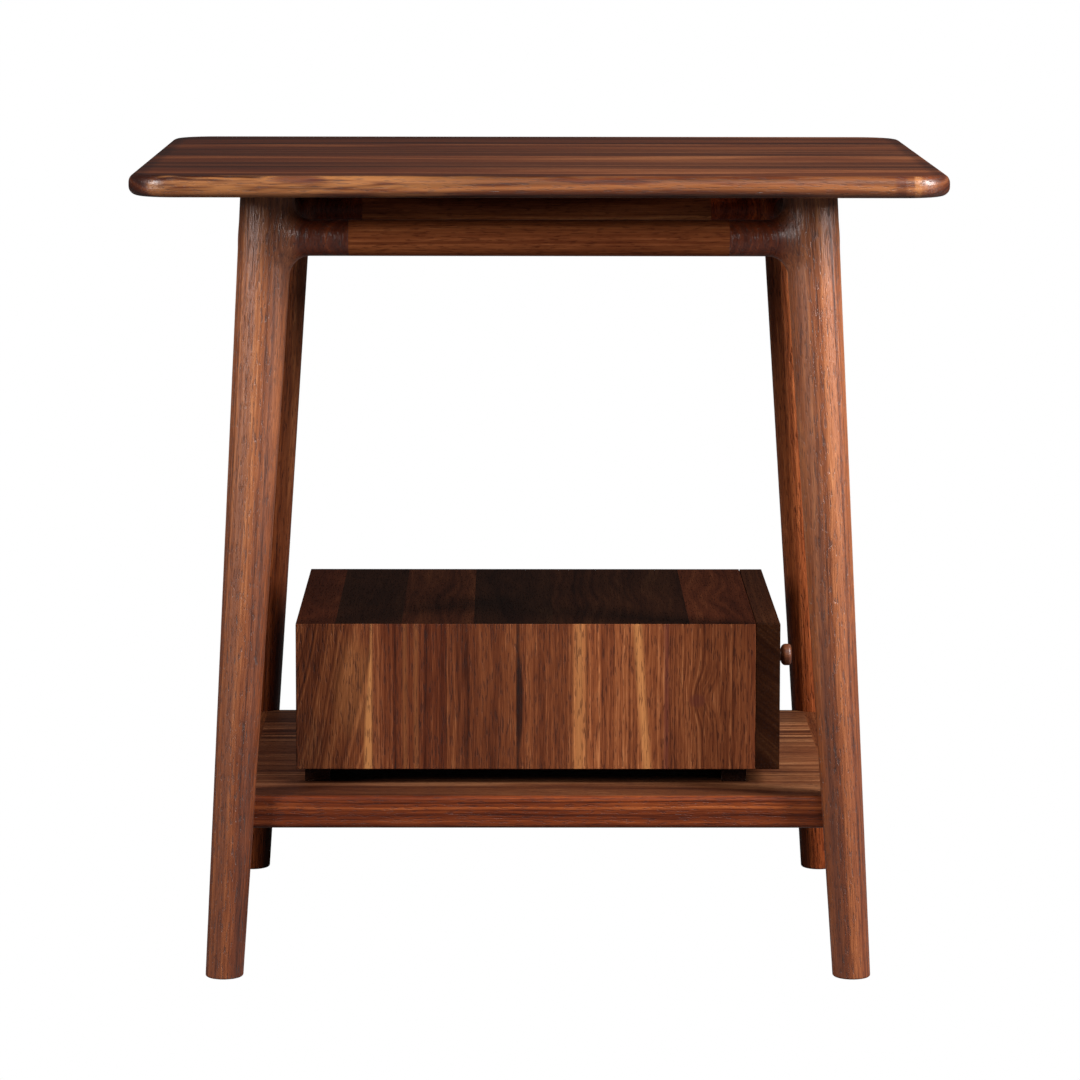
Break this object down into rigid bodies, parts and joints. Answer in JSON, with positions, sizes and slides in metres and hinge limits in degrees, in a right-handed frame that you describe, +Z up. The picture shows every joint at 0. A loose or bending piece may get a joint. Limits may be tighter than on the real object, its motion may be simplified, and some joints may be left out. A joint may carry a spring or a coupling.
{
  "type": "side table with drawer",
  "caption": "Wooden side table with a rounded slab top, splayed round legs flowing into round rails, a lower shelf, and a cabinet on the shelf whose knobbed drawer slides out sideways.",
  "frame": {"origin": "on the floor, under the middle of the top", "axes": "+Z up; X along the top's long side, with the drawer opening towards +X; -Y is the front, the side that faces the room"},
  "size_m": [0.6, 0.47, 0.605],
  "materials": {
    "walnut_top": "satin oil, boards glued edge to edge along the width",
    "walnut_leg": "satin oil, grain along the leg",
    "walnut_rail": "satin oil, grain along the rail",
    "walnut_shelf": "satin oil, grain along the width",
    "walnut_cabinet": "satin oil, boards glued edge to edge with upright grain",
    "walnut_dark": "satin oil, dark heartwood",
    "knob_wood": "turned, satin oil",
    "drawer_wood": "sanded beech, thin clear oil",
    "dowel_wood": "fluted beech dowel",
    "screw_steel": "zinc-plated steel"
  },
  "bodies": {
    "table": {"tabletop": "walnut_top", "front_left_leg": "walnut_leg", "front_right_leg": "walnut_leg", "rear_left_leg": "walnut_leg", "rear_right_leg": "walnut_leg", "front_top_rail": "walnut_rail", "rear_top_rail": "walnut_rail", "left_top_rail": "walnut_rail", "right_top_rail": "walnut_rail", "rail_dowels": "dowel_wood", "leg_dowels": "dowel_wood", "shelf_panel": "walnut_shelf", "left_shelf_rail": "walnut_rail", "right_shelf_rail": "walnut_rail", "shelf_dowels": "dowel_wood", "panel_dowels": "dowel_wood", "left_riser": "walnut_dark", "right_riser": "walnut_dark", "riser_screws": "screw_steel", "cabinet_top": "walnut_dark", "cabinet_bottom": "walnut_dark", "cabinet_front_panel": "walnut_cabinet", "cabinet_rear_panel": "walnut_cabinet", "cabinet_end_panel": "walnut_cabinet", "front_runner": "drawer_wood", "rear_runner": "drawer_wood", "runner_screws": "screw_steel", "drawer_stop": "drawer_wood", "stop_screw": "screw_steel"},
    "drawer": {"drawer_front": "walnut_dark", "drawer_left_side": "drawer_wood", "drawer_right_side": "drawer_wood", "drawer_back": "drawer_wood", "drawer_bottom": "drawer_wood", "drawer_dowels": "dowel_wood", "drawer_knob": "knob_wood", "knob_screw": "screw_steel"}
  },
  "joints": [
    {"name": "drawer_slide", "type": "slide", "parent": "table", "child": "drawer", "axis": [1, 0, 0], "range_m": [0, 0.24]}
  ]
}
